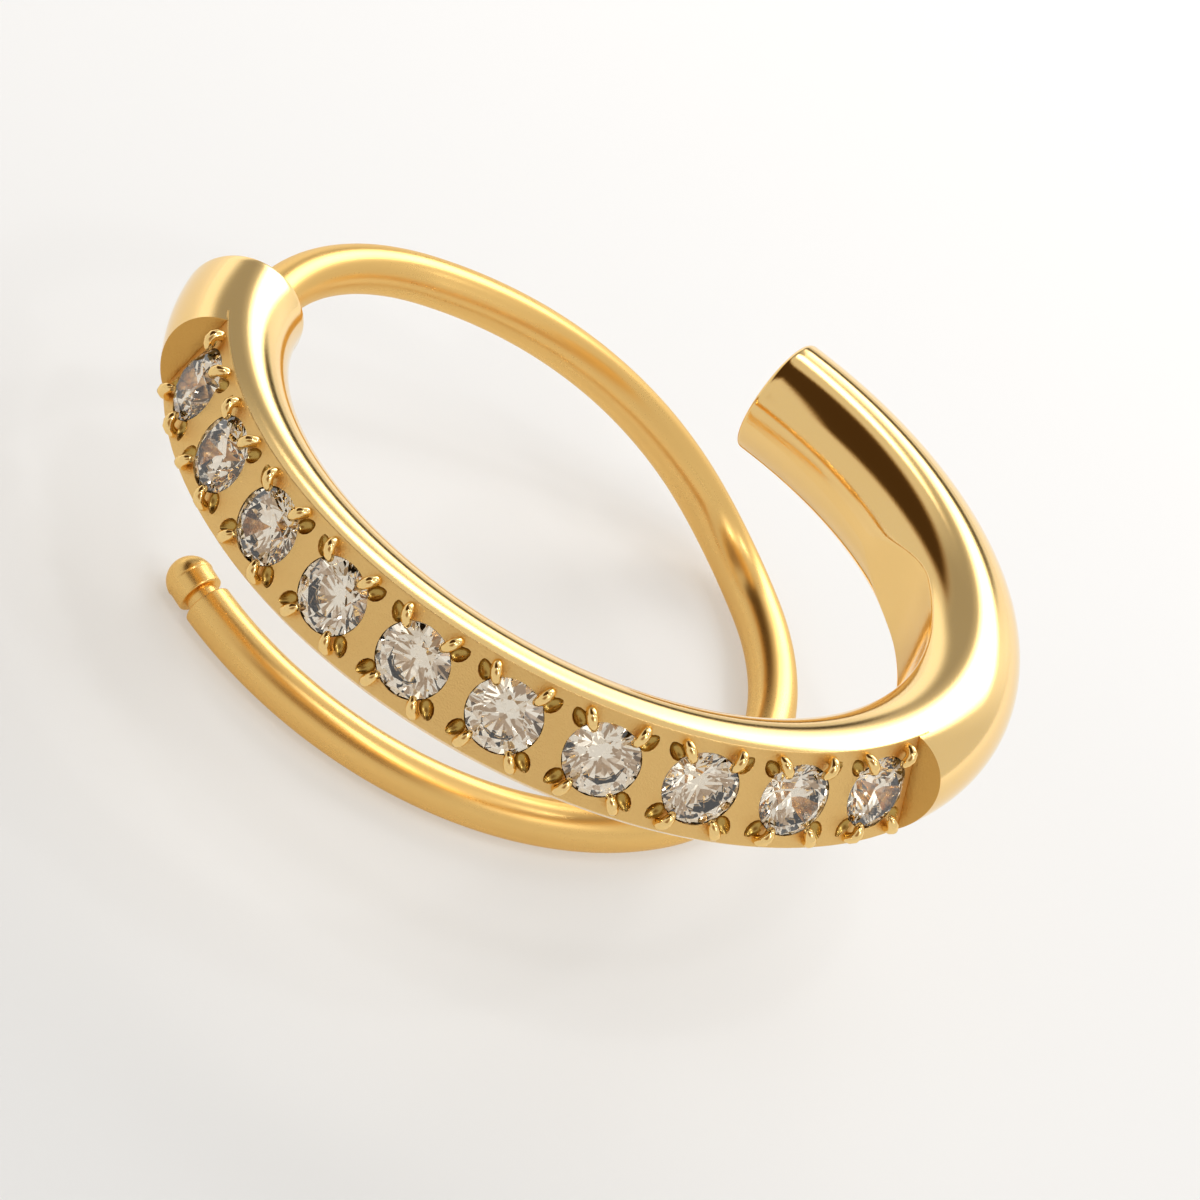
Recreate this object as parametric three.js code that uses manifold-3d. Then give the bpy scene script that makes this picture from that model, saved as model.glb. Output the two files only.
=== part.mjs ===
// Huggie earring. A thick C-shaped hoop of round bar has a row of ten stones let into its outer side.
// A thin ear wire is fixed in a hole drilled in one end of the bar, swings out to the side of the hoop
// and curls back under it to a ball tip.
//
// Millimetres, +Z up. Every piece is made in the hoop's own frame: the hoop lies in the XY plane with its
// centre at the origin, and the ear wire swings out to +Z. The finished earring is then turned to stand
// on the flat curl of its ear wire, as it rests by itself, with its origin under the middle of it.

import * as THREE from 'three';
import * as BufferGeometryUtils from 'three/addons/utils/BufferGeometryUtils.js';
import Module from 'manifold-3d';

const manifold = await Module();
manifold.setup();

// ---- Driving dimensions ------------------------------------------------------------------------------

// Hoop: round bar bent to a slightly oval C. Lengths along it are measured from its plain end.
const BAR_RADIUS = 1.1;
const HOOP_HALF_WIDTH = 6.96;
const HOOP_HALF_HEIGHT = 6.4;
const PLAIN_END_ANGLE = -85.8;      // degrees round the oval, from +X
const HOOP_SWEEP = 257.4;           // degrees from the plain end to the drilled end
const END_ROUNDING = 0.1;

// Stone plate: a flat filed along the outer side of the bar, leaning away from the ear wire.
const PLATE_DISTANCE = 0.62;        // from the bar's centreline to the flat
const PLATE_LEAN = 15;              // degrees from straight outward
const PLATE_START = 11.1;
const PLATE_END = 28.3;

// Inner relief: a shallow flat along the inner side of the bar, which runs out smoothly at both ends.
const RELIEF_DISTANCE = 0.8;        // from the bar's centreline to the flat
const RELIEF_START = 3.9;
const RELIEF_END = 25.6;
const RELIEF_RUNOUT = 2.2;

// Stones: round brilliants, each sunk in a cone-shaped seat to just below its girdle.
const STONE_COUNT = 10;
const FIRST_STONE = 12.13;
const STONE_PITCH = 1.679;
const STONE_RADIUS = 0.68;
const TABLE_RADIUS = 0.38;
const CROWN_HEIGHT = 0.2;
const GIRDLE_HEIGHT = 0.04;
const PAVILION_DEPTH = 0.5;
const GIRDLE_SINK = 0.03;           // from the plate down to the top of the girdle
const SEAT_CLEARANCE = 0.04;

// Ear wire and the hole that it is fixed in. Its offsets are from the centre of the bar's end.
const WIRE_RADIUS = 0.425;
const SOCKET_RADIUS = 0.6;
const SOCKET_DEPTH = 1.15;
const SOCKET_INWARD = 0.3;
const SOCKET_SIDEWAYS = -0.22;
const WIRE_FOOT_CLEARANCE = 0.15;
const BALL_RADIUS = 0.44;
const GROOVE_RADIUS = 0.3;
const GROOVE_WIDTH = 0.16;
const GROOVE_FROM_BALL = 0.42;

// The ear wire's bends, from the bar to the ball. roll turns the direction of bending about the wire, in
// degrees, and the first is measured from straight towards the hoop's centre.
const BENDS = [
  { length: 4.73, radius: 5.07, roll: 12.6 },
  { length: 7.64, radius: 12.9, roll: 67.7 },
  { length: 2.6, radius: 2.07, roll: -74.4 },
  { length: 6.9, radius: 5.19, roll: 40.6 },
  { length: 10.27, radius: 6.63, roll: 0 },
];

// Turn about the vertical that brings the row of stones to the front, -Y.
const TURN = 113;

// Fineness of the meshes.
const BAR_SIDES = 28;
const BAR_STEPS = 56;
const WIRE_SIDES = 12;
const WIRE_STEP = 0.5;
const STONE_SIDES = 12;
const CUTTER_OVERREACH = 1;         // how far a cutter stands out of what it cuts

const SIDEWAYS = new THREE.Vector3(0, 0, 1);
const DOWN = new THREE.Vector3(0, 0, -1);

// ---- Materials ---------------------------------------------------------------------------------------

const barGold = new THREE.MeshStandardMaterial({ color: 0xdcb36b, roughness: 0.28, metalness: 1 });
const wireGold = new THREE.MeshStandardMaterial({ color: 0xe0b970, roughness: 0.2, metalness: 1 });
const clearStone = new THREE.MeshStandardMaterial({ color: 0xf3f3f0, roughness: 0.05, metalness: 0 });

// ---- Solids ------------------------------------------------------------------------------------------

// The closed solid that a geometry bounds.
function solidOf(geometry) {
  const bare = geometry.clone();
  bare.deleteAttribute('normal');
  bare.deleteAttribute('uv');
  const merged = BufferGeometryUtils.mergeVertices(bare);
  return new manifold.Manifold(new manifold.Mesh({
    numProp: 3,
    vertProperties: new Float32Array(merged.attributes.position.array),
    triVerts: new Uint32Array(merged.index.array),
  }));
}

// The geometry of a solid, flat-shaded.
function geometryOf(solid) {
  const mesh = solid.getMesh();
  const shared = new THREE.BufferGeometry();
  shared.setAttribute('position', new THREE.BufferAttribute(mesh.vertProperties, 3));
  shared.setIndex(new THREE.BufferAttribute(mesh.triVerts, 1));
  const geometry = shared.toNonIndexed();
  geometry.computeVertexNormals();
  return geometry;
}

function namedMesh(name, geometry, material) {
  const mesh = new THREE.Mesh(geometry, material);
  mesh.name = name;
  return mesh;
}

// A turned shape whose axis, +Y in the profile, is laid along a direction from a place.
function turned(profile, sides, place, axis) {
  const geometry = new THREE.LatheGeometry(profile, sides);
  geometry.applyQuaternion(new THREE.Quaternion().setFromUnitVectors(new THREE.Vector3(0, 1, 0), axis));
  geometry.translate(place.x, place.y, place.z);
  return geometry;
}

// A section swept along a path. On the hoop's paths the section's x runs to -Z and its y towards the
// hoop's centre.
function swept(section, path, steps) {
  return new THREE.ExtrudeGeometry(section, { extrudePath: path, steps, curveSegments: BAR_SIDES / 4 });
}

function roundSection(radius, sides) {
  const corners = [];
  for (let i = 0; i < sides; i += 1) {
    const angle = (2 * Math.PI * i) / sides;
    corners.push(new THREE.Vector2(radius * Math.cos(angle), radius * Math.sin(angle)));
  }
  return new THREE.Shape(corners);
}

// A rectangle that starts at a distance from the centreline, in a direction of the section.
function flatCutterSection(direction, distance) {
  const across = new THREE.Vector2(-direction.y, direction.x);
  const corner = (out, side) => direction.clone().multiplyScalar(out).addScaledVector(across, side);
  const far = distance + BAR_RADIUS + CUTTER_OVERREACH;
  const half = BAR_RADIUS + CUTTER_OVERREACH;
  return new THREE.Shape([corner(distance, -half), corner(far, -half), corner(far, half), corner(distance, half)]);
}

// ---- Hoop --------------------------------------------------------------------------------------------

class OvalArc extends THREE.Curve {
  getPoint(t, target = new THREE.Vector3()) {
    const angle = THREE.MathUtils.degToRad(PLAIN_END_ANGLE + HOOP_SWEEP * t);
    return target.set(HOOP_HALF_WIDTH * Math.cos(angle), HOOP_HALF_HEIGHT * Math.sin(angle), 0);
  }
}

const centreline = new OvalArc();
const HOOP_LENGTH = centreline.getLength();

// Where the bar's centreline is at a length from the plain end, and which ways it faces there.
function stationAt(length) {
  const place = centreline.getPointAt(length / HOOP_LENGTH);
  const along = centreline.getTangentAt(length / HOOP_LENGTH);
  const outward = new THREE.Vector3().crossVectors(along, SIDEWAYS);
  return { place, along, outward };
}

// The stretch of the centreline between two lengths, lifted towards the hoop's centre by a height that
// may change along it.
class HoopStretch extends THREE.Curve {
  constructor(from, to, liftAt = () => 0) {
    super();
    this.from = from;
    this.to = to;
    this.liftAt = liftAt;
  }

  getPoint(t, target = new THREE.Vector3()) {
    const length = this.from + (this.to - this.from) * t;
    const { place, outward } = stationAt(length);
    return target.copy(place).addScaledVector(outward, -this.liftAt(length));
  }
}

function plateCutter() {
  const lean = THREE.MathUtils.degToRad(PLATE_LEAN);
  const direction = new THREE.Vector2(Math.sin(lean), -Math.cos(lean));
  const section = flatCutterSection(direction, PLATE_DISTANCE);
  return swept(section, new HoopStretch(PLATE_START, PLATE_END), 36);
}

function reliefCutter() {
  const depth = BAR_RADIUS - RELIEF_DISTANCE;
  const liftAt = (length) => {
    const toEnd = Math.min(length - RELIEF_START, RELIEF_END - length);
    return 1.2 * depth * (1 - Math.sin((Math.PI / 2) * Math.min(1, toEnd / RELIEF_RUNOUT)));
  };
  const section = flatCutterSection(new THREE.Vector2(0, 1), RELIEF_DISTANCE);
  return swept(section, new HoopStretch(RELIEF_START, RELIEF_END, liftAt), 44);
}

// A ring that rounds the edge of a bar's end with two facets. Each facet runs on past the metal, so that
// the ring crosses both the end and the side of the bar cleanly.
function endRounder(place, outOfEnd) {
  const slope = Math.tan(THREE.MathUtils.degToRad(25));
  const facet = (END_ROUNDING * slope) / (1 + slope);
  const ridge = new THREE.Vector2(BAR_RADIUS - facet, -facet);
  const onEnd = new THREE.Vector2(BAR_RADIUS - END_ROUNDING, 0);
  const onSide = new THREE.Vector2(BAR_RADIUS, -END_ROUNDING);
  const aboveEnd = onEnd.clone().multiplyScalar(2).sub(ridge);
  const besideBar = onSide.clone().multiplyScalar(2).sub(ridge);
  const outer = BAR_RADIUS + CUTTER_OVERREACH;
  const profile = [
    besideBar,
    new THREE.Vector2(outer, besideBar.y),
    new THREE.Vector2(outer, CUTTER_OVERREACH),
    new THREE.Vector2(aboveEnd.x, CUTTER_OVERREACH),
    aboveEnd,
    ridge,
    besideBar,
  ];
  return turned(profile, BAR_SIDES, place, outOfEnd);
}

const plainEnd = stationAt(0);
const drilledEnd = stationAt(HOOP_LENGTH);
const socketMouth = drilledEnd.place.clone()
  .addScaledVector(drilledEnd.outward, -SOCKET_INWARD)
  .addScaledVector(SIDEWAYS, SOCKET_SIDEWAYS);

function socketCutter() {
  const profile = [
    new THREE.Vector2(0, -SOCKET_DEPTH),
    new THREE.Vector2(SOCKET_RADIUS, -SOCKET_DEPTH),
    new THREE.Vector2(SOCKET_RADIUS, CUTTER_OVERREACH),
    new THREE.Vector2(0, CUTTER_OVERREACH),
  ];
  return turned(profile, 24, socketMouth, drilledEnd.along);
}

// ---- Stones ------------------------------------------------------------------------------------------

// Profiles of a stone and of its seat, with the top of the girdle at height 0.
const stoneProfile = [
  new THREE.Vector2(0, -GIRDLE_HEIGHT - PAVILION_DEPTH),
  new THREE.Vector2(STONE_RADIUS, -GIRDLE_HEIGHT),
  new THREE.Vector2(STONE_RADIUS, 0),
  new THREE.Vector2(TABLE_RADIUS, CROWN_HEIGHT),
  new THREE.Vector2(0, CROWN_HEIGHT),
];
const seatRadius = STONE_RADIUS + SEAT_CLEARANCE;
const seatProfile = [
  new THREE.Vector2(0, -GIRDLE_HEIGHT - PAVILION_DEPTH - 2 * SEAT_CLEARANCE),
  new THREE.Vector2(seatRadius, -GIRDLE_HEIGHT - SEAT_CLEARANCE),
  new THREE.Vector2(seatRadius, CUTTER_OVERREACH),
  new THREE.Vector2(0, CUTTER_OVERREACH),
];

// Which way the stone plate faces, and the middle of a stone's girdle, at a length along the bar.
function stoneSeatAt(length) {
  const { place, along, outward } = stationAt(length);
  const facing = outward.clone().applyAxisAngle(along, THREE.MathUtils.degToRad(PLATE_LEAN));
  const middle = place.clone().addScaledVector(facing, PLATE_DISTANCE - GIRDLE_SINK);
  return { middle, facing };
}

const stoneSeats = [];
for (let i = 0; i < STONE_COUNT; i += 1) {
  stoneSeats.push(stoneSeatAt(FIRST_STONE + STONE_PITCH * i));
}

function makeStones() {
  const geometry = new THREE.LatheGeometry(stoneProfile, STONE_SIDES);
  return stoneSeats.map(({ middle, facing }, i) => {
    const stone = namedMesh(`stone_${String(i + 1).padStart(2, '0')}`, geometry, clearStone);
    stone.position.copy(middle);
    stone.quaternion.setFromUnitVectors(new THREE.Vector3(0, 1, 0), facing);
    return stone;
  });
}

function makeHoop() {
  let bar = solidOf(swept(roundSection(BAR_RADIUS, BAR_SIDES), centreline, BAR_STEPS));
  const cutters = [
    plateCutter(),
    reliefCutter(),
    endRounder(plainEnd.place, plainEnd.along.clone().negate()),
    endRounder(drilledEnd.place, drilledEnd.along),
    socketCutter(),
    ...stoneSeats.map(({ middle, facing }) => turned(seatProfile, STONE_SIDES, middle, facing)),
  ];
  for (const cutter of cutters) {
    bar = bar.subtract(solidOf(cutter));
  }
  return namedMesh('hoop', geometryOf(bar), barGold);
}

// ---- Ear wire ----------------------------------------------------------------------------------------

// The route of the wire: a straight foot in the socket, then one circular arc for each bend.
class BentRoute extends THREE.Curve {
  constructor() {
    super();
    const footLength = SOCKET_DEPTH - WIRE_FOOT_CLEARANCE;
    let direction = drilledEnd.along.clone();
    let bendTowards = drilledEnd.outward.clone().negate();
    let start = socketMouth.clone().addScaledVector(direction, -footLength);
    this.pieces = [{ start, direction, bendTowards, length: footLength, radius: Infinity, from: 0 }];
    start = socketMouth;
    this.total = footLength;
    for (const { length, radius, roll } of BENDS) {
      bendTowards = bendTowards.clone().applyAxisAngle(direction, THREE.MathUtils.degToRad(roll));
      const piece = { start, direction, bendTowards, length, radius, from: this.total };
      this.pieces.push(piece);
      this.total += length;
      start = BentRoute.along(piece, length);
      const turn = length / radius;
      const nextDirection = direction.clone().multiplyScalar(Math.cos(turn))
        .addScaledVector(bendTowards, Math.sin(turn));
      bendTowards = bendTowards.clone().multiplyScalar(Math.cos(turn)).addScaledVector(direction, -Math.sin(turn));
      direction = nextDirection;
    }
    this.tip = start;
    this.tipDirection = direction;
    this.curlAxis = new THREE.Vector3().crossVectors(direction, bendTowards);
  }

  // The point of an arc, or of the straight foot, at a length from its start.
  static along({ start, direction, bendTowards, radius }, length) {
    if (radius === Infinity) {
      return start.clone().addScaledVector(direction, length);
    }
    const turn = length / radius;
    return start.clone()
      .addScaledVector(direction, radius * Math.sin(turn))
      .addScaledVector(bendTowards, radius * (1 - Math.cos(turn)));
  }

  getPoint(t, target = new THREE.Vector3()) {
    const length = t * this.total;
    const piece = this.pieces.findLast(({ from }) => from <= length);
    return target.copy(BentRoute.along(piece, length - piece.from));
  }
}

const wireRoute = new BentRoute();

// A ring that turns a narrow groove behind the ball.
function grooveCutter() {
  const outer = WIRE_RADIUS + CUTTER_OVERREACH / 2;
  const half = GROOVE_WIDTH / 2;
  const profile = [
    new THREE.Vector2(GROOVE_RADIUS, -half),
    new THREE.Vector2(outer, -half * 2),
    new THREE.Vector2(outer, half * 2),
    new THREE.Vector2(GROOVE_RADIUS, half),
    new THREE.Vector2(GROOVE_RADIUS, -half),
  ];
  const middle = wireRoute.tip.clone().addScaledVector(wireRoute.tipDirection, -GROOVE_FROM_BALL);
  return turned(profile, WIRE_SIDES, middle, wireRoute.tipDirection);
}

function makeEarWire() {
  const steps = Math.round(wireRoute.total / WIRE_STEP);
  const rod = solidOf(swept(roundSection(WIRE_RADIUS, WIRE_SIDES), wireRoute, steps));
  const ball = new THREE.SphereGeometry(BALL_RADIUS, WIRE_SIDES, WIRE_SIDES / 2);
  ball.translate(wireRoute.tip.x, wireRoute.tip.y, wireRoute.tip.z);
  const wire = rod.add(solidOf(ball)).subtract(solidOf(grooveCutter()));
  return namedMesh('ear_wire', geometryOf(wire), wireGold);
}

// ---- Earring, standing on the curl of its ear wire ---------------------------------------------------

const earring = new THREE.Group();
earring.add(makeHoop(), makeEarWire(), ...makeStones());

const curlDown = wireRoute.curlAxis.clone();
if (curlDown.z < 0) {
  curlDown.negate();
}
const upended = new THREE.Quaternion().setFromUnitVectors(curlDown, DOWN);
const turn = new THREE.Quaternion().setFromAxisAngle(SIDEWAYS, THREE.MathUtils.degToRad(TURN));
earring.quaternion.multiplyQuaternions(turn, upended);

const extent = new THREE.Box3().setFromObject(earring, true);
const middle = extent.getCenter(new THREE.Vector3());
earring.position.set(-middle.x, -middle.y, -extent.min.z);

const group = new THREE.Group();
group.add(earring);

export default group;
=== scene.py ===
"""The looks of the huggie earring, in metres with +Z up."""

import bisect
import math

import bmesh
import bpy
from mathutils import Matrix, Quaternion, Vector


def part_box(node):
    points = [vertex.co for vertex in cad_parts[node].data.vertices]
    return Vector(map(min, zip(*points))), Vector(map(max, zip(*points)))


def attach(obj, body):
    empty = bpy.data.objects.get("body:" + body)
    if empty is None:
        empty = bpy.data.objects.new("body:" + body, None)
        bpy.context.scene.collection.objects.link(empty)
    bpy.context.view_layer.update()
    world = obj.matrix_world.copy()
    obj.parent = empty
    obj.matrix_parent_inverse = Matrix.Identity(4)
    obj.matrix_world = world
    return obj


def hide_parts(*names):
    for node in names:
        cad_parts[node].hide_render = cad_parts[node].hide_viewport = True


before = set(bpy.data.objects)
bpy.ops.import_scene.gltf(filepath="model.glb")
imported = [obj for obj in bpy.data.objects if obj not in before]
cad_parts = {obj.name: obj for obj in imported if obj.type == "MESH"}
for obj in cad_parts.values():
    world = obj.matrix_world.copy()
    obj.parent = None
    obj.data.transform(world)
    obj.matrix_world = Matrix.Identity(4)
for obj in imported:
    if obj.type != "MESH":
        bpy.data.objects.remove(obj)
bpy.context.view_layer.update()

MM = 0.001

# ---- How the earring stands ----------------------------------------------------------------------
# A round bar is bent to an oval C. A thin wire is fixed in one end of it, swings out to the side
# and curls back under it, and the earring stands on that curl. Both routes are worked out in the
# hoop's own frame, where the oval lies flat round the origin and the wire swings out to +Z.

OVAL_HALF_WIDTH = 6.96 * MM
OVAL_HALF_HEIGHT = 6.4 * MM
PLAIN_END_ANGLE = math.radians(-85.8)
OVAL_SWEEP = math.radians(257.4)
OVAL_STEPS = 1440
SIDEWAYS = Vector((0, 0, 1))


def oval_point(angle):
    return Vector((OVAL_HALF_WIDTH * math.cos(angle), OVAL_HALF_HEIGHT * math.sin(angle), 0))


oval_lengths = [0.0]
for step in range(OVAL_STEPS):
    ends = [oval_point(PLAIN_END_ANGLE + OVAL_SWEEP * (step + k) / OVAL_STEPS) for k in (0, 1)]
    oval_lengths.append(oval_lengths[-1] + (ends[1] - ends[0]).length)
BAR_LENGTH = oval_lengths[-1]


def bar_station(length):
    """The bar's centre, its direction and the way out of the hoop, at a length from the plain
    end."""
    step = min(max(bisect.bisect_right(oval_lengths, length) - 1, 0), OVAL_STEPS - 1)
    share = (length - oval_lengths[step]) / (oval_lengths[step + 1] - oval_lengths[step])
    angle = PLAIN_END_ANGLE + OVAL_SWEEP * (step + share) / OVAL_STEPS
    along = Vector((-OVAL_HALF_WIDTH * math.sin(angle), OVAL_HALF_HEIGHT * math.cos(angle), 0))
    along.normalize()
    return oval_point(angle), along, along.cross(SIDEWAYS)


WIRE_RADIUS = 0.425 * MM
WIRE_FOOT = 1.0 * MM
HOLE_INWARD = 0.3 * MM
HOLE_ASIDE = 0.22 * MM
BENDS = (  # length and radius in mm, and the turn of the bending way about the wire in degrees
    (4.73, 5.07, 12.6),
    (7.64, 12.9, 67.7),
    (2.6, 2.07, -74.4),
    (6.9, 5.19, 40.6),
    (10.27, 6.63, 0.0),
)

drilled_end, end_along, end_outward = bar_station(BAR_LENGTH)
hole_mouth = drilled_end - HOLE_INWARD * end_outward - HOLE_ASIDE * SIDEWAYS

wire_arcs = []
place, heading, towards = hole_mouth, end_along, -end_outward
wire_length = WIRE_FOOT
for bend_length, bend_radius, roll in BENDS:
    towards = Quaternion(heading, math.radians(roll)) @ towards
    wire_arcs.append((wire_length, place, heading, towards, bend_radius * MM))
    turn = bend_length / bend_radius
    over = math.sin(turn) * heading + (1 - math.cos(turn)) * towards
    place = place + bend_radius * MM * over
    heading, towards = (
        math.cos(turn) * heading + math.sin(turn) * towards,
        math.cos(turn) * towards - math.sin(turn) * heading,
    )
    wire_length += bend_length * MM
WIRE_LENGTH = wire_length
curl_axis = heading.cross(towards)


def wire_station(length):
    """The wire's centre and direction at a length from the bottom of its foot."""
    if length < WIRE_FOOT:
        return hole_mouth + (length - WIRE_FOOT) * end_along, end_along
    start, place, heading, towards, radius = [arc for arc in wire_arcs if arc[0] <= length][-1]
    turn = (length - start) / radius
    centre = place + radius * (math.sin(turn) * heading + (1 - math.cos(turn)) * towards)
    return centre, math.cos(turn) * heading + math.sin(turn) * towards


STANCE_TURN = math.radians(113)
WIRE_PROBES = 400

down = curl_axis if curl_axis.z > 0 else -curl_axis
stance = Quaternion((0, 0, 1), STANCE_TURN) @ down.rotation_difference(Vector((0, 0, -1)))
wire_low, wire_high = [1.0] * 3, [-1.0] * 3
for probe in range(WIRE_PROBES + 1):
    centre, along = wire_station(WIRE_LENGTH * probe / WIRE_PROBES)
    centre, along = stance @ centre, stance @ along
    for axis in range(3):
        reach = WIRE_RADIUS * math.sqrt(max(0, 1 - along[axis] ** 2))
        wire_low[axis] = min(wire_low[axis], centre[axis] - reach)
        wire_high[axis] = max(wire_high[axis], centre[axis] + reach)
box_low, box_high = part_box("ear_wire")
hoop_centre = (box_low + box_high - Vector(wire_low) - Vector(wire_high)) / 2
TO_FRAME = Matrix.Translation(hoop_centre) @ stance.to_matrix().to_4x4()


# ---- Studio --------------------------------------------------------------------------------------
# A plain pale floor, which glows with painted light that lifts its shadows and is painted darker
# towards the front as shade, under a soft white surround, which is brightest behind the earring
# and has one dark stretch high on the left, so that polished metal has something dark to mirror.
# A long lens looks down on the stone row.


class Value:
    """A socket of a shader, with arithmetic that adds Math nodes."""

    def __init__(self, finish, socket):
        self.finish = finish
        self.socket = socket

    def maths(self, operation, first, second):
        return self.finish.node("ShaderNodeMath", {"operation": operation}, {0: first, 1: second})

    def __add__(self, other):
        return self.maths("ADD", self, other)

    __radd__ = __add__

    def __sub__(self, other):
        return self.maths("SUBTRACT", self, other)

    def __rsub__(self, other):
        return self.maths("SUBTRACT", other, self)

    def __mul__(self, other):
        return self.maths("MULTIPLY", self, other)

    __rmul__ = __mul__


class Finish:
    """A node tree that a surface or the surround is made with."""

    def __init__(self, owner):
        owner.use_nodes = True
        self.owner = owner
        self.tree = owner.node_tree
        self.tree.nodes.clear()

    def node(self, kind, settings=None, inputs=None, output=0):
        """Adds a node: its settings first, then the value or link of each of its sockets."""
        made = self.tree.nodes.new(kind)
        for name, setting in (settings or {}).items():
            setattr(made, name, setting)
        for name, value in (inputs or {}).items():
            if isinstance(value, Value):
                self.tree.links.new(value.socket, made.inputs[name])
            else:
                made.inputs[name].default_value = value
        return Value(self, made.outputs[output]) if len(made.outputs) else None

    def mix(self, factor, first, second):
        """A colour between two others."""
        inputs = {"Factor": factor, "A": (*first, 1), "B": (*second, 1)}
        return self.node("ShaderNodeMix", {"data_type": "RGBA"}, inputs, "Result")

    def fade(self, amount, start, end):
        """0 before start and 1 after end, or the other way round when end comes before start."""
        inputs = {"Value": amount, "From Min": min(start, end), "From Max": max(start, end)}
        if end < start:
            inputs |= {"To Min": 1.0, "To Max": 0.0}
        return self.node("ShaderNodeMapRange", {"interpolation_type": "SMOOTHSTEP"}, inputs)

    def done(self, shader, output="ShaderNodeOutputMaterial"):
        """Joins the shader to the output and gives back the material or the surround."""
        self.node(output, None, {"Surface": shader})
        return self.owner


def material(name):
    return Finish(bpy.data.materials.new(name))


surround = Finish(bpy.data.worlds.new("soft_white_surround"))
bpy.context.scene.world = surround.owner
direction = surround.node("ShaderNodeTexCoord", output="Generated")
dir_x, dir_y, dir_z = (
    surround.node("ShaderNodeSeparateXYZ", None, {"Vector": direction}, axis) for axis in "XYZ"
)
to_degrees = 180 / math.pi
azimuth = surround.node("ShaderNodeMath", {"operation": "ARCTAN2"}, {0: dir_y, 1: dir_x * -1})
azimuth = azimuth * to_degrees
elevation = surround.node("ShaderNodeMath", {"operation": "ARCSINE"}, {0: dir_z}) * to_degrees


def patch(azimuths, elevations, side_edge, level_edge, lean=0.0):
    """1 over a stretch of the surround and 0 elsewhere, all in degrees, with azimuths from the
    left by way of the back. The edges are as soft as they say, and lean is how far the stretch
    sinks for each degree of azimuth."""
    (left, right), (bottom, top) = azimuths, elevations
    height = elevation + lean * azimuth
    sideways = surround.fade(azimuth, left - side_edge, left + side_edge)
    sideways = sideways * surround.fade(azimuth, right + side_edge, right - side_edge)
    upright = surround.fade(height, bottom - level_edge, bottom + level_edge)
    upright = upright * surround.fade(height, top + level_edge, top - level_edge)
    return sideways * upright


window = patch((82, 113), (17, 48), 6, 3) + patch((64, 80), (39, 49), 3, 3)
low_back = patch((98, 118), (-8, 26), 12, 14)
left_back = patch((30, 74), (-8, 13), 4, 4)
right_glow = patch((-176, -140), (35, 65), 4, 4)
dark_left = patch((-31, 42), (29.5, 90), 6, 4, 0.25)
dim_left = patch((43, 76), (13, 38), 7, 6)
dim_line = patch((74, 98), (7, 14), 3, 2)
lens_shade = patch((-118, -62), (22, 62), 8, 8)
glow = 0.67 + 2.6 * window + 0.35 * low_back + 0.4 * left_back + 0.7 * right_glow
glow = glow * (1 - 0.88 * dark_left) * (1 - 0.45 * dim_left)
glow = glow * (1 - 0.88 * dim_line) * (1 - 0.55 * lens_shade)
tone = surround.mix(dark_left + 0.7 * lens_shade, (1.0, 0.99, 0.97), (1.0, 0.62, 0.28))
shine = surround.node("ShaderNodeBackground", None, {"Color": tone, "Strength": glow})
plain = surround.node("ShaderNodeBackground", None, {"Color": (1, 1, 1, 1), "Strength": 1.0})
seen = surround.node("ShaderNodeLightPath", output="Is Camera Ray")
both = surround.node("ShaderNodeMixShader", None, {0: seen, 1: shine, 2: plain})
surround.done(both, "ShaderNodeOutputWorld")

FLOOR_SIZE = 0.6
FLOOR_FRONT = -35 * MM
FLOOR_BACK = 60 * MM

paper = material("pale_floor_painted_glow")
floor_spot = paper.node("ShaderNodeTexCoord", output="Object")
floor_y = paper.node("ShaderNodeSeparateXYZ", None, {"Vector": floor_spot}, "Y")
# The floor glows: painted light that lifts its shadows, weaker towards the front as painted shade.
painted_glow_to_back = paper.fade(floor_y, FLOOR_FRONT, FLOOR_BACK)
paper_inputs = {
    "Base Color": (0.54, 0.54, 0.545, 1),
    "Roughness": 1.0,
    "Specular IOR Level": 0.0,
    "Emission Color": paper.mix(painted_glow_to_back, (0.235, 0.235, 0.225), (0.52, 0.515, 0.51)),
    "Emission Strength": 1.0,
}
bm = bmesh.new()
bmesh.ops.create_grid(bm, x_segments=4, y_segments=4, size=FLOOR_SIZE / 2)
floor_mesh = bpy.data.meshes.new("floor")
bm.to_mesh(floor_mesh)
bm.free()
floor_mesh.materials.append(paper.done(paper.node("ShaderNodeBsdfPrincipled", None, paper_inputs)))
floor = bpy.data.objects.new("floor", floor_mesh)
bpy.context.scene.collection.objects.link(floor)

SPARK_DISTANCE = 0.35
SPARK_SIZE = 0.02
SPARK_ENERGY = 0.04
SPARKS = ((-152, 48), (-120, 70), (-100, 82), (150, 58))  # azimuth and elevation in degrees

for number, spark_angles in enumerate(SPARKS, 1):
    light = bpy.data.lights.new(f"spark_{number}", "AREA")
    light.size = SPARK_SIZE
    light.energy = SPARK_ENERGY
    lamp = bpy.data.objects.new(f"spark_{number}", light)
    bpy.context.scene.collection.objects.link(lamp)
    turn, rise = (math.radians(angle) for angle in spark_angles)
    level = math.cos(rise)
    way = Vector((-math.cos(turn) * level, math.sin(turn) * level, math.sin(rise)))
    lamp.location = way * SPARK_DISTANCE
    lamp.rotation_euler = way.to_track_quat("Z", "Y").to_euler()

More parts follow.
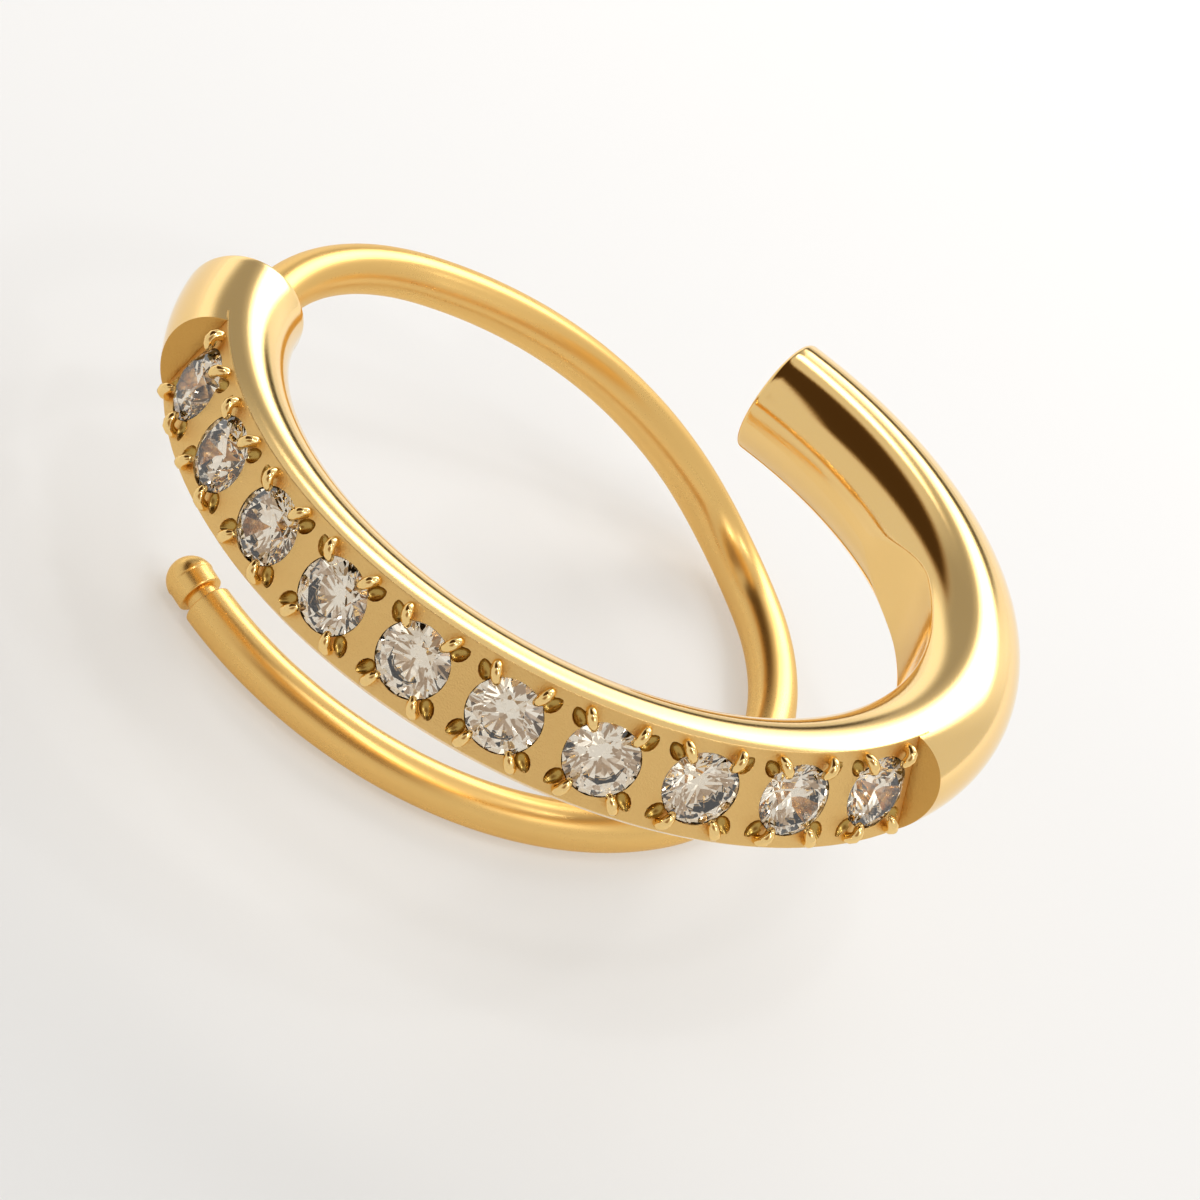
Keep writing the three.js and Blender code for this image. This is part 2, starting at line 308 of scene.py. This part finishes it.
# The lens, in the hoop's frame: where it stands, what it looks at, and which way is up.
lens_place = TO_FRAME @ (Vector((46.6, 216.3, -144.2)) * MM)
lens_aim = TO_FRAME @ (Vector((0.94, 0.5, 1.04)) * MM)
lens_up = stance @ Vector((-0.561, -0.382, -0.735))
camera_data = bpy.data.cameras.new("camera")
camera_data.sensor_width = 36
camera_data.lens = 461
camera_data.clip_start = 0.01
camera = bpy.data.objects.new("camera", camera_data)
bpy.context.scene.collection.objects.link(camera)
forward = (lens_aim - lens_place).normalized()
right = forward.cross(lens_up).normalized()
upward = right.cross(forward)
lens_turn = Matrix((right, upward, -forward)).transposed().to_4x4()
camera.matrix_world = Matrix.Translation(lens_place) @ lens_turn
bpy.context.scene.camera = camera
bpy.context.scene.view_settings.view_transform = "Standard"
bpy.context.scene.view_settings.look = "Medium High Contrast"


# ---- Bar -----------------------------------------------------------------------------------------
# The hoop is solid brass bar, gold-plated and polished. A flat is milled along its outer side for
# the stones and leans away from the ear wire. A shallower flat is ground along its inner side and
# runs out at both ends. One end is drilled for the wire.

BAR_RADIUS = 1.1 * MM
END_ROUNDING = 0.1 * MM
END_STEPS = 7
PLATE_DISTANCE = 0.62 * MM
PLATE_LEAN = math.radians(15)
PLATE_START = 11.1 * MM
PLATE_END = 28.3 * MM
PLATE_SOFTNESS = 0.012 * MM
RELIEF_DISTANCE = 0.8 * MM
RELIEF_START = 3.9 * MM
RELIEF_END = 25.6 * MM
RELIEF_RUN = 2.2 * MM
RELIEF_SOFTNESS = 0.05 * MM
RELIEF_LEAST_HALF = math.radians(14)
RING_SPACING = 0.11 * MM
SIDE_POINTS = (48, 30, 36, 40)  # over the plate, to the relief, over it, and back to the plate
CAP_INSET = 0.03 * MM
DOUBLES = 0.0002 * MM
SORTING_WAY = Vector((0.6180, 0.7321, 0.4142))  # uneven, so that few places come level


def in_order(bm):
    """Sorts a bmesh's parts by their places, so that a cut comes out the same in every run."""

    def rank(part):
        return sum(vert.co.dot(SORTING_WAY) for vert in part.verts) / len(part.verts)

    bm.verts.sort(key=lambda vert: vert.co.dot(SORTING_WAY))
    bm.edges.sort(key=rank)
    bm.faces.sort(key=rank)


def loft(bm, rings):
    """Draws a ring of points on through the others as a skin of quads, closes its two ends, and
    gives back its rings of vertices."""
    made = bmesh.ops.create_circle(bm, segments=len(rings[0]), radius=1)
    drawn = [list(made["verts"])]
    for ring in rings:
        if ring is not rings[0]:
            made = bmesh.ops.extrude_edge_only(bm, edges=edges)
            fresh = {part for part in made["geom"] if isinstance(part, bmesh.types.BMVert)}
            risen = []
            for vert in drawn[-1]:
                others = [edge.other_vert(vert) for edge in vert.link_edges]
                risen += [other for other in others if other in fresh]
            drawn.append(risen)
        for vert, point in zip(drawn[-1], ring):
            vert.co = point
        edges = [bm.edges.get(pair) for pair in zip(drawn[-1], drawn[-1][1:] + drawn[-1][:1])]
        if ring is rings[0] or ring is rings[-1]:
            bmesh.ops.edgeloop_fill(bm, edges=edges)
    return drawn


def softer_of(a, b, softness):
    """The lesser of two distances, with the corner between them rounded by a softness."""
    gap = max(softness - abs(a - b), 0) / softness
    return min(a, b) - gap * gap * softness / 4


def relief_distance_at(length):
    """How far the inner flat is from the bar's middle, which is its radius where it runs out."""
    share = min(max(min(length - RELIEF_START, RELIEF_END - length) / RELIEF_RUN, 0), 1)
    return BAR_RADIUS - (BAR_RADIUS - RELIEF_DISTANCE) * share * share * (3 - 2 * share)


def eased(count):
    """Shares from 0 up to but not including 1, closer together towards both ends."""
    return [(1 - math.cos(math.pi * k / count)) / 2 for k in range(count)]


def bar_ring(length, has_plate, radius=BAR_RADIUS):
    """The bar's outline at a length, as points in the hoop's frame. Angles run from straight
    outward towards the side away from the wire."""
    plate_half = math.acos(PLATE_DISTANCE / BAR_RADIUS)
    relief = relief_distance_at(length)
    relief_half = max(math.acos(min(relief / BAR_RADIUS, 1)), RELIEF_LEAST_HALF)
    corners = (
        PLATE_LEAN - plate_half,
        PLATE_LEAN + plate_half,
        math.pi - relief_half,
        math.pi + relief_half,
        PLATE_LEAN - plate_half + 2 * math.pi,
    )
    centre, _, outward = bar_station(length)
    ring = []
    for start, end, count in zip(corners, corners[1:], SIDE_POINTS):
        for share in eased(count):
            angle = start + (end - start) * share
            out = radius
            facing_plate = math.cos(angle - PLATE_LEAN)
            if has_plate and facing_plate > 0.1:
                out = softer_of(out, PLATE_DISTANCE / facing_plate, PLATE_SOFTNESS)
            facing_relief = -math.cos(angle)
            if facing_relief > 0.1:
                out = softer_of(out, relief / facing_relief, RELIEF_SOFTNESS)
            ring.append(centre + out * (math.cos(angle) * outward - math.sin(angle) * SIDEWAYS))
    return ring


STEP_RUN = 0.28 * MM
flat_start, flat_end = PLATE_START + STEP_RUN, PLATE_END - STEP_RUN

end_shares = []  # how far each ring of a rounded end is from the end, and in from the skin
for k in range(END_STEPS):
    turn = math.pi / 2 * k / (END_STEPS - 1)
    end_shares.append((END_ROUNDING * (1 - math.cos(turn)), END_ROUNDING * (1 - math.sin(turn))))
rings = [bar_ring(reach, False, BAR_RADIUS - inset) for reach, inset in end_shares]
ring_count = round((BAR_LENGTH - 2 * END_ROUNDING) / RING_SPACING)
spacing = (BAR_LENGTH - 2 * END_ROUNDING) / ring_count
for k in range(1, ring_count):
    length = END_ROUNDING + (BAR_LENGTH - 2 * END_ROUNDING) * k / ring_count
    for foot, plate_after in ((flat_start, True), (flat_end, False)):
        if length - spacing < foot <= length:
            rings += [bar_ring(foot, not plate_after), bar_ring(foot, plate_after)]
    rings.append(bar_ring(length, flat_start <= length < flat_end))
for reach, inset in reversed(end_shares):
    rings.append(bar_ring(BAR_LENGTH - reach, False, BAR_RADIUS - inset))

bm = bmesh.new()
loft(bm, rings)
for cap in [face for face in bm.faces if len(face.verts) > 4]:
    bmesh.ops.inset_region(bm, faces=[cap], thickness=CAP_INSET)
bmesh.ops.remove_doubles(bm, verts=bm.verts, dist=DOUBLES)
in_order(bm)
bmesh.ops.recalc_face_normals(bm, faces=bm.faces)
bar_mesh = bpy.data.meshes.new("bar")
bm.to_mesh(bar_mesh)
bm.free()

STONE_COUNT = 10
FIRST_STONE = 12.13 * MM
STONE_PITCH = 1.679 * MM
STONE_RADIUS = 0.68 * MM
GIRDLE_SINK = 0.03 * MM
GIRDLE_HEIGHT = 0.03 * MM
SEAT_CLEARANCE = 0.006 * MM
TOOL_OVERREACH = 0.3 * MM
WELL_RADIUS = STONE_RADIUS + SEAT_CLEARANCE
WELL_PROFILE = (  # radius, and height over the girdle
    (0.03 * MM, -GIRDLE_HEIGHT - 0.93 * STONE_RADIUS),
    (WELL_RADIUS, -GIRDLE_HEIGHT - 0.02 * MM),
    (WELL_RADIUS, TOOL_OVERREACH),
)
WELL_SIDES = 48
HOLE_RADIUS = 0.6 * MM
HOLE_DEPTH = 1.15 * MM
HOLE_SIDES = 64
STEP_CUT_HALF = 1.3 * MM
STEP_CUT_DEPTH = 0.002 * MM


def facing_way(along, outward):
    """The way that the plate faces at a station of the bar."""
    return Quaternion(along, PLATE_LEAN) @ outward


def stone_seat(index):
    """The frame of a stone's seat: its origin at the girdle, Z out of the plate and X along the
    bar."""
    centre, along, outward = bar_station(FIRST_STONE + STONE_PITCH * index)
    facing = facing_way(along, outward)
    place = centre + (PLATE_DISTANCE - GIRDLE_SINK) * facing
    turn = Matrix((along, facing.cross(along), facing)).transposed().to_4x4()
    return Matrix.Translation(place) @ turn


def turned(bm, profile, sides, matrix):
    """A closed turned shape about the matrix's Z axis, from (radius, height) pairs."""
    rings = []
    for radius, height in profile:
        ring = []
        for k in range(sides):
            angle = 2 * math.pi * k / sides
            across, aside = radius * math.cos(angle), radius * math.sin(angle)
            ring.append(matrix @ Vector((across, aside, height)))
        rings.append(ring)
    loft(bm, rings)


def cut(mesh, name, bm):
    """The mesh with the solids of a bmesh cut out of it. The bmesh is used up."""
    in_order(bm)
    bmesh.ops.recalc_face_normals(bm, faces=bm.faces)
    tool_mesh = bpy.data.meshes.new(name)
    bm.to_mesh(tool_mesh)
    bm.free()
    tool = bpy.data.objects.new(name, tool_mesh)
    work = bpy.data.objects.new("work", mesh)
    for thing in (tool, work):
        bpy.context.scene.collection.objects.link(thing)
    modifier = work.modifiers.new("cut", "BOOLEAN")
    modifier.operation = "DIFFERENCE"
    modifier.solver = "EXACT"
    modifier.object = tool
    bpy.context.view_layer.update()
    graph = bpy.context.evaluated_depsgraph_get()
    result = bpy.data.meshes.new_from_object(work.evaluated_get(graph))
    bpy.data.objects.remove(work)
    bpy.data.objects.remove(tool)
    return result


bm = bmesh.new()
for index in range(STONE_COUNT):
    turned(bm, WELL_PROFILE, WELL_SIDES, stone_seat(index))
step_rise = 3 * STEP_RUN / (BAR_RADIUS - PLATE_DISTANCE)
for foot, away in ((flat_start, -1), (flat_end, 1)):
    centre, along, outward = bar_station(foot)
    facing = facing_way(along, outward)
    # The wedge's outline in mm, from the step's foot: back a little, up, and down the slope.
    outline = ((-0.01, 0), (-0.25, 3), (step_rise, 3))
    wedge = []
    for side in (-STEP_CUT_HALF, STEP_CUT_HALF):
        low_edge = centre + (PLATE_DISTANCE - STEP_CUT_DEPTH) * facing + side * facing.cross(along)
        wedge.append([low_edge + MM * (x * away * along + y * facing) for x, y in outline])
    loft(bm, wedge)
hole_turn = end_along.to_track_quat("Z", "Y").to_matrix().to_4x4()
hole_profile = ((HOLE_RADIUS, -HOLE_DEPTH), (HOLE_RADIUS, TOOL_OVERREACH))
turned(bm, hole_profile, HOLE_SIDES, Matrix.Translation(hole_mouth) @ hole_turn)
bar_mesh = cut(bar_mesh, "seat_tool", bm)

CORNERS = ((1, 1), (-1, 1), (-1, -1), (1, -1))
PIT_PROFILE = (  # radius and distance along the pit, in mm
    (0.02, -0.175),
    (0.08, -0.15),
    (0.125, -0.08),
    (0.138, 0.01),
    (0.12, 0.1),
    (0.075, 0.175),
    (0.015, 0.235),
)
PIT_SIDES = 18
PIT_ALONG = 0.63 * MM
PIT_ACROSS = 0.56 * MM
PIT_TURN = 52  # degrees
PIT_ROLL = 0.4  # radians
CORNER_SCATTER = 5  # degrees


def corner_place(index, corner, along, across, turn):
    """The frame of a feature at one of a stone's four corners, level with the plate. Its X runs
    outward, turned from the bar's direction by an angle in degrees."""
    ahead, aside = CORNERS[corner]
    turn = math.radians(turn + CORNER_SCATTER * math.sin(5.1 * index + 2.3 * corner))
    turn = math.atan2(aside * math.sin(turn), ahead * math.cos(turn))
    spot = Vector((ahead * along, aside * across, GIRDLE_SINK))
    return stone_seat(index) @ Matrix.Translation(spot) @ Matrix.Rotation(turn, 4, "Z")


bm = bmesh.new()
lying = Matrix.Rotation(math.pi / 2, 4, "Y")
rolled = Matrix.Rotation(PIT_ROLL, 4, "Z")
for index in range(STONE_COUNT):
    for corner in range(4):
        pit_place = corner_place(index, corner, PIT_ALONG, PIT_ACROSS, PIT_TURN) @ lying @ rolled
        pit = [(radius * MM, reach * MM) for radius, reach in PIT_PROFILE]
        turned(bm, pit, PIT_SIDES, pit_place)
bar_mesh = cut(bar_mesh, "pit_tool", bm)

GOLD = (0.93, 0.665, 0.295)
GOLD_AT_THE_RIM = (0.97, 0.89, 0.72, 1)
GRAIN_SIZE = 0.03 * MM
GRAIN_DEPTH = 0.01 * MM
CLOUD_SIZE = 1.7 * MM


def blotches(finish, where, size, detail, roughness=0.5):
    """A soft random pattern, from the size of its blotches."""
    inputs = {"Vector": where, "Scale": 1 / size, "Detail": detail, "Roughness": roughness}
    return finish.node("ShaderNodeTexNoise", None, inputs)


def gold(name, colour, roughness, grain, size=GRAIN_SIZE, streaks=0.0, coat=0.0):
    """Plated gold with a fine grain, streaks along the piece where it was drawn or brushed, and a
    clear coat that pales its highlights."""
    finish = material(name)
    spot = finish.node("ShaderNodeTexCoord", output="Object")
    fine = blotches(finish, spot, size, 3.0, 0.6)
    cloud = blotches(finish, spot, CLOUD_SIZE, 2.0)
    height = fine * grain
    rough = roughness + 0.08 * (fine - 0.5) + 0.06 * (cloud - 0.5)
    if streaks:
        lay = finish.node("ShaderNodeAttribute", {"attribute_name": "lay"}, output="Vector")
        brushed = blotches(finish, lay, 1.0, 4.0, 0.65)
        height = height + brushed * streaks
        rough = rough + 0.12 * (brushed - 0.5)
    worn = (colour[0] * 0.93, colour[1] * 0.87, colour[2] * 0.78)
    bump_inputs = {"Height": height, "Strength": 1.0, "Distance": GRAIN_DEPTH}
    inputs = {
        "Base Color": finish.mix(0.35 * cloud + 0.25 * fine, colour, worn),
        "Metallic": 1.0,
        "Roughness": rough,
        "Normal": finish.node("ShaderNodeBump", None, bump_inputs),
        "Specular Tint": GOLD_AT_THE_RIM,
        "Coat Weight": coat,
        "Coat Roughness": 0.04,
    }
    return finish.done(finish.node("ShaderNodeBsdfPrincipled", None, inputs))


POLISHED, SATIN, BRUSHED, SHADED_GRAVER_CUT, FILED_SHADED, WELL = range(6)
bar_finishes = (
    gold("polished_bar", GOLD, 0.09, 0.08, coat=0.75),
    gold("satin_plate", (0.83, 0.575, 0.25), 0.34, 1.3, size=0.035 * MM),
    gold("brushed_relief", GOLD, 0.11, 0.08, streaks=0.25, coat=0.25),
    # The graver cuts round the stones are painted a dark gold: painted shade in the pits.
    gold("graver_cut_painted_shade", (0.52, 0.36, 0.12), 0.26, 0.05),
    # The filed step's coarse grain is real; its darker orange colour is painted shade in the step's
    # hollow.
    gold("filed_step_painted_shade", (0.68, 0.41, 0.13), 0.40, 1.2, size=0.04 * MM),
    gold("stone_well", (0.90, 0.68, 0.38), 0.2, 0.05),
)


PLAIN_END_MARGIN = 0.3  # radians, so that points past the plain end still count from it


def bar_place(point):
    """Where a point of the bar is: its length from the plain end, and how far it is outward and
    sideways."""
    angle = math.atan2(point.y / OVAL_HALF_HEIGHT, point.x / OVAL_HALF_WIDTH)
    while angle < PLAIN_END_ANGLE - PLAIN_END_MARGIN:
        angle += 2 * math.pi
    steps = (angle - PLAIN_END_ANGLE) / OVAL_SWEEP * OVAL_STEPS
    low = min(max(int(steps), 0), OVAL_STEPS - 1)
    length = oval_lengths[low] + (steps - low) * (oval_lengths[low + 1] - oval_lengths[low])
    for _ in range(3):
        centre, along, _ = bar_station(length)
        length += (point - centre).dot(along)
    centre, _, outward = bar_station(length)
    return length, (point - centre).dot(outward), point.z


SKIN_MARGIN = 0.004 * MM
FLAT_MARGIN = 0.01 * MM
STEP_MARGIN = 0.02 * MM
CUT_LEAST_DEPTH = 0.06 * MM
INNER_SIDE = -0.5 * MM


def bar_finish(point):
    """Which of the bar's finishes is at a point of its skin."""
    length, out, side = bar_place(point)
    from_plate = out * math.cos(PLATE_LEAN) - side * math.sin(PLATE_LEAN) - PLATE_DISTANCE
    below_skin = BAR_RADIUS - math.hypot(out, side)
    on_step = (
        PLATE_START < length < flat_start + STEP_MARGIN
        or flat_end - STEP_MARGIN < length < PLATE_END
    )
    if on_step and below_skin > SKIN_MARGIN and from_plate > -STEP_MARGIN and out > 0:
        return FILED_SHADED
    if PLATE_START - FLAT_MARGIN < length < PLATE_END + FLAT_MARGIN:
        if abs(from_plate) < PLATE_SOFTNESS:
            return SATIN
        if from_plate < 0 and below_skin > CUT_LEAST_DEPTH and out > INNER_SIDE:
            number = min(max(round((length - FIRST_STONE) / STONE_PITCH), 0), STONE_COUNT - 1)
            from_axis = (stone_seat(number).inverted() @ point).to_2d().length
            return WELL if from_axis < WELL_RADIUS + SKIN_MARGIN else SHADED_GRAVER_CUT
    if below_skin > FLAT_MARGIN and out < INNER_SIDE:
        return BRUSHED
    return POLISHED


def finished_piece(name, bm, materials, node_names, sharp=40):
    """A smooth mesh object from a bmesh in the hoop's frame, riding on the earring's one body.
    Edges that bend by more than sharp degrees stay sharp."""
    in_order(bm)
    bmesh.ops.recalc_face_normals(bm, faces=bm.faces)
    bmesh.ops.transform(bm, matrix=TO_FRAME, verts=bm.verts)
    for face in bm.faces:
        face.smooth = True
    mesh = bpy.data.meshes.new(name)
    bm.to_mesh(mesh)
    bm.free()
    mesh.set_sharp_from_angle(angle=math.radians(sharp))
    for made in materials:
        mesh.materials.append(made)
    piece = bpy.data.objects.new(name, mesh)
    bpy.context.scene.collection.objects.link(piece)
    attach(piece, "root")
    if node_names:
        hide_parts(*node_names)
    return piece


LAY_ALONG = 0.35  # the streaks' pattern for each millimetre: long along the bar
LAY_ASIDE = 14  # and fine across it
LAY_OUTWARD = 3

bm = bmesh.new()
bm.from_mesh(bar_mesh)
bmesh.ops.remove_doubles(bm, verts=bm.verts, dist=DOUBLES)
bmesh.ops.dissolve_verts(bm, verts=[vert for vert in bm.verts if len(vert.link_edges) == 2])
lay = bm.verts.layers.float_vector.new("lay")
for vert in bm.verts:
    length, out, side = bar_place(vert.co)
    vert[lay] = (length / MM * LAY_ALONG, side / MM * LAY_ASIDE, out / MM * LAY_OUTWARD)
for face in bm.faces:
    face.material_index = bar_finish(face.calc_center_median())
finished_piece("bar", bm, bar_finishes, ["hoop"])


# ---- Ear wire ------------------------------------------------------------------------------------
# Drawn wire, gold-plated, fixed in the drilled end of the bar. Behind its tip a narrow groove is
# turned, and the tip itself is rounded to a small ball.

BALL_RADIUS = 0.44 * MM
GROOVE_RADIUS = 0.3 * MM
GROOVE_WIDTH = 0.16 * MM
GROOVE_BLEND = 0.05 * MM
GROOVE_FROM_BALL = 0.42 * MM
WIRE_SIDES = 40
TIP_STRETCH = 1.2 * MM
TIP_SPACING = 0.012 * MM
TIP_RINGS = 64
WIRE_SPACING = 0.096 * MM
BALL_RINGS = 30
WIRE_LAY_ALONG = 0.3
WIRE_LAY_ROUND = 5


def wire_radius_at(from_tip):
    """The wire's radius at a length from its very tip."""
    from_ball = BALL_RADIUS - from_tip
    if from_ball > 0:
        return math.sqrt(max(BALL_RADIUS**2 - from_ball**2, 0))
    groove = GROOVE_FROM_BALL + from_ball
    if abs(groove) < GROOVE_WIDTH / 2:
        return GROOVE_RADIUS
    blend = min(max((abs(groove) - GROOVE_WIDTH / 2) / GROOVE_BLEND, 0), 1)
    full = WIRE_RADIUS if groove > 0 else BALL_RADIUS
    return GROOVE_RADIUS + (full - GROOVE_RADIUS) * math.sqrt(1 - (1 - blend) ** 2)


total = WIRE_LENGTH + BALL_RADIUS
lengths = [WIRE_SPACING * k for k in range(math.ceil((total - TIP_STRETCH) / WIRE_SPACING))]
lengths += [total - TIP_STRETCH + TIP_SPACING * k for k in range(TIP_RINGS)]
ball_turns = [math.radians(90 / BALL_RINGS * k) for k in range(BALL_RINGS)]
lengths += [total - BALL_RADIUS * (1 - math.sin(turn)) for turn in ball_turns]
turns = [2 * math.pi * k / WIRE_SIDES for k in range(WIRE_SIDES)]
side_way = end_outward.copy()
wire_rings = []
for length in lengths:
    centre, along = wire_station(min(length, WIRE_LENGTH))
    centre = centre + max(length - WIRE_LENGTH, 0) * along
    side_way = (side_way - side_way.dot(along) * along).normalized()
    other_way = along.cross(side_way)
    radius = wire_radius_at(total - length)
    ways = [math.cos(turn) * side_way + math.sin(turn) * other_way for turn in turns]
    wire_rings.append([centre + radius * way for way in ways])

bm = bmesh.new()
lay = bm.verts.layers.float_vector.new("lay")
for length, ring in zip(lengths, loft(bm, wire_rings)):
    for turn, vert in zip(turns, ring):
        round_it = (WIRE_LAY_ROUND * math.cos(turn), WIRE_LAY_ROUND * math.sin(turn))
        vert[lay] = (WIRE_LAY_ALONG * length / MM, *round_it)
drawn_wire = gold("drawn_wire", (0.87, 0.59, 0.235), 0.29, 0.06, streaks=0.12)
finished_piece("ear_wire_looks", bm, [drawn_wire], ["ear_wire"], 50)


# ---- Stones --------------------------------------------------------------------------------------
# Clear round brilliants, cut with a table, eight kite facets and the usual rings of halves, and set
# so that the girdle is just under the plate. The girdle is left unpolished.

TABLE = 0.57
STAR = 0.763
LOWER_HALF = 0.23
CROWN_SLOPE = math.tan(math.radians(34.5))
PAVILION_SLOPE = math.tan(math.radians(41))
STONE_IOR = 2.17
PAINTED_REFLECTION_SIZE = 0.9 * MM
SMEAR_SIZE = 0.12 * MM


def brilliant(bm, radius, matrix):
    """The skin of a brilliant: the tightest one round its facet corners, with flat facets kept
    whole."""
    half_turn = math.radians(22.5)
    star_height = radius * CROWN_SLOPE * (1 - STAR * math.cos(half_turn))
    half_depth = radius * PAVILION_SLOPE * (1 - LOWER_HALF * math.cos(half_turn))
    corners = [Vector((0, 0, -GIRDLE_HEIGHT - radius * PAVILION_SLOPE))]
    for k in range(8):
        main, half = math.radians(45 * k), math.radians(45 * k + 22.5)
        for reach, turn, height in (
            (TABLE, main, radius * CROWN_SLOPE * (1 - TABLE)),
            (STAR, half, star_height),
            (1, main, 0),
            (1, half, 0),
            (1, main, -GIRDLE_HEIGHT),
            (1, half, -GIRDLE_HEIGHT),
            (LOWER_HALF, half, -GIRDLE_HEIGHT - half_depth),
        ):
            across, aside = radius * reach * math.cos(turn), radius * reach * math.sin(turn)
            corners.append(Vector((across, aside, height)))
    verts = [bm.verts.new(matrix @ corner) for corner in corners]
    skin = bmesh.ops.convex_hull(bm, input=verts)
    edges = [part for part in skin["geom"] if isinstance(part, bmesh.types.BMEdge)]
    bmesh.ops.dissolve_limit(bm, angle_limit=math.radians(0.5), verts=verts, edges=edges)


def clear_stone(name, roughness, smear):
    """Clear crystal with a faint, drifting warm tint that paints a reflection of gold, and a smear
    on its polish.
    """
    finish = material(name)
    spot = finish.node("ShaderNodeTexCoord", output="Object")
    painted_gold_reflection = blotches(finish, spot, PAINTED_REFLECTION_SIZE, 2.0)
    marks = blotches(finish, spot, SMEAR_SIZE, 3.0)
    inputs = {
        # The warm tint is a painted reflection of the gold round the stone, not the crystal's own
        # colour.
        "Base Color": finish.mix(painted_gold_reflection, (1.0, 0.94, 0.83), (1.0, 0.87, 0.68)),
        "Roughness": roughness + smear * marks,
        "IOR": STONE_IOR,
        "Transmission Weight": 1.0,
    }
    return finish.done(finish.node("ShaderNodeBsdfPrincipled", None, inputs))


stone_finishes = (
    clear_stone("clear_brilliant", 0.0, 0.012),
    clear_stone("bruted_girdle", 0.35, 0.2),
)

for index in range(STONE_COUNT):
    bm = bmesh.new()
    spin = Matrix.Rotation(math.radians(31 * index + 7), 4, "Z")
    lean = Matrix.Rotation(math.radians(1.5 * math.sin(2.3 * index)), 4, "X")
    seat = stone_seat(index) @ lean @ spin
    brilliant(bm, STONE_RADIUS, seat)
    axis = (TO_FRAME @ seat).col[2].to_3d()
    number = f"{index + 1:02d}"
    nodes = [f"stone_{number}"]
    stone = finished_piece(f"brilliant_{number}", bm, stone_finishes, nodes, 1)
    for facet in stone.data.polygons:
        facet.use_smooth = False
        facet.material_index = 1 if abs(facet.normal.dot(axis)) < 0.1 else 0


# ---- Grains --------------------------------------------------------------------------------------
# At each stone's four corners a graver has raised a grain of the plate and pushed it over the
# stone's edge to hold it.

GRAIN_PATH = (  # distance along the grain, height over the plate and radius, in mm
    (0.17, -0.12, 0.07),
    (0.17, -0.02, 0.09),
    (0.15, 0.08, 0.1),
    (0.1, 0.145, 0.104),
    (0.03, 0.168, 0.102),
    (-0.05, 0.145, 0.094),
    (-0.11, 0.114, 0.078),
    (-0.152, 0.094, 0.052),
    (-0.17, 0.082, 0.012),
)
GRAIN_SIDES = 14
GRAIN_ALONG = 0.43 * MM
GRAIN_ACROSS = 0.62 * MM
GRAIN_TURN = 60  # degrees

grain_rings = []
for i, (reach, height, radius) in enumerate(GRAIN_PATH):
    before = GRAIN_PATH[max(i - 1, 0)]
    after = GRAIN_PATH[min(i + 1, len(GRAIN_PATH) - 1)]
    along = Vector((after[0] - before[0], 0, after[1] - before[1])).normalized()
    over, aside = Vector((-along.z, 0, along.x)), Vector((0, 1, 0))
    ring = []
    for k in range(GRAIN_SIDES):
        angle = 2 * math.pi * k / GRAIN_SIDES
        offset = math.cos(angle) * over + math.sin(angle) * aside
        ring.append((Vector((reach, 0, height)) + radius * offset) * MM)
    grain_rings.append(ring)

bm = bmesh.new()
for index in range(STONE_COUNT):
    for corner in range(4):
        spot = corner_place(index, corner, GRAIN_ALONG, GRAIN_ACROSS, GRAIN_TURN)
        loft(bm, [[spot @ point for point in ring] for ring in grain_rings])
grain_gold = gold("grain_gold", (0.95, 0.70, 0.33), 0.1, 0.04)
finished_piece("grains", bm, [grain_gold], [], 60)
